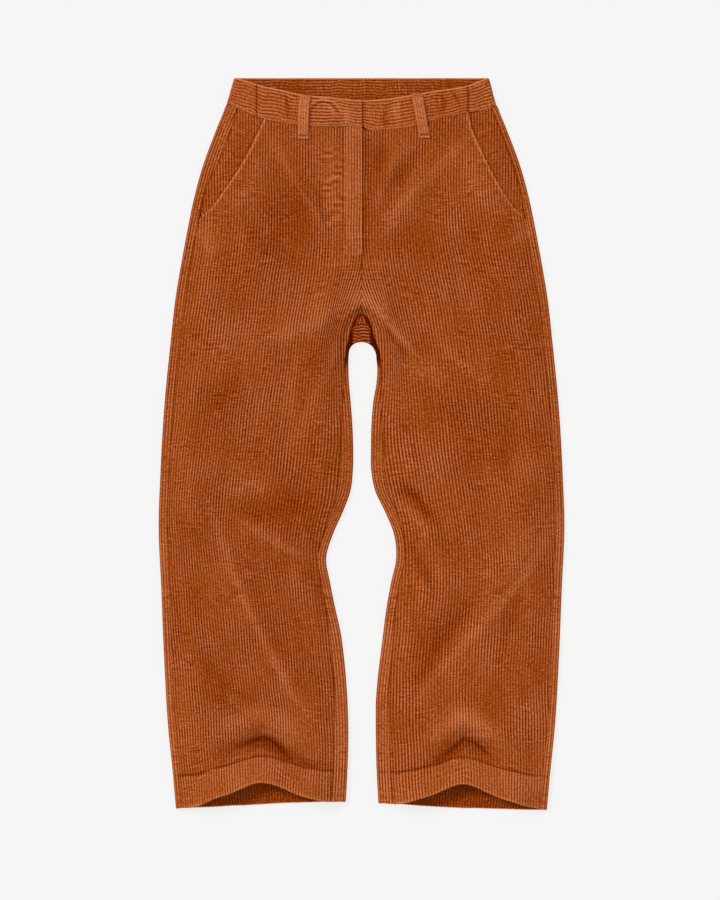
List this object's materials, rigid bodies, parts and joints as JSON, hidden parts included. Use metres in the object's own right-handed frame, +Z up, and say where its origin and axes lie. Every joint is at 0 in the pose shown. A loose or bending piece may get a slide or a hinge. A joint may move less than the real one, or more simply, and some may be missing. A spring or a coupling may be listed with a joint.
{
  "type": "corduroy trousers",
  "caption": "Wide-leg corduroy trousers laid flat on their back, front up, with a curved waistband, fly lap, slanted pockets, belt loops and open hems.",
  "frame": {"origin": "on the floor under the middle of the laid-out trousers: centre of the bounding box in X and Y, z = 0 where the back lies", "axes": "+Y runs from the hems to the waist, +X to the wearer's left, +Z up out of the front"},
  "size_m": [0.5464, 0.985, 0.0305],
  "materials": {
    "corduroy": "wide-wale cotton corduroy with a soft nap, rust orange",
    "corduroy_inside": "the same corduroy inside the garment, a little darker"
  },
  "bodies": {
    "root": {"front_right": "corduroy", "front_left": "corduroy", "back_right": "corduroy", "back_left": "corduroy", "pocket_facing_right": "corduroy", "pocket_facing_left": "corduroy", "waistband_back": "corduroy", "waistband_front_right": "corduroy", "waistband_front_left": "corduroy", "belt_loop_right": "corduroy", "belt_loop_left": "corduroy", "fly_shield": "corduroy_inside"}
  },
  "joints": []
}
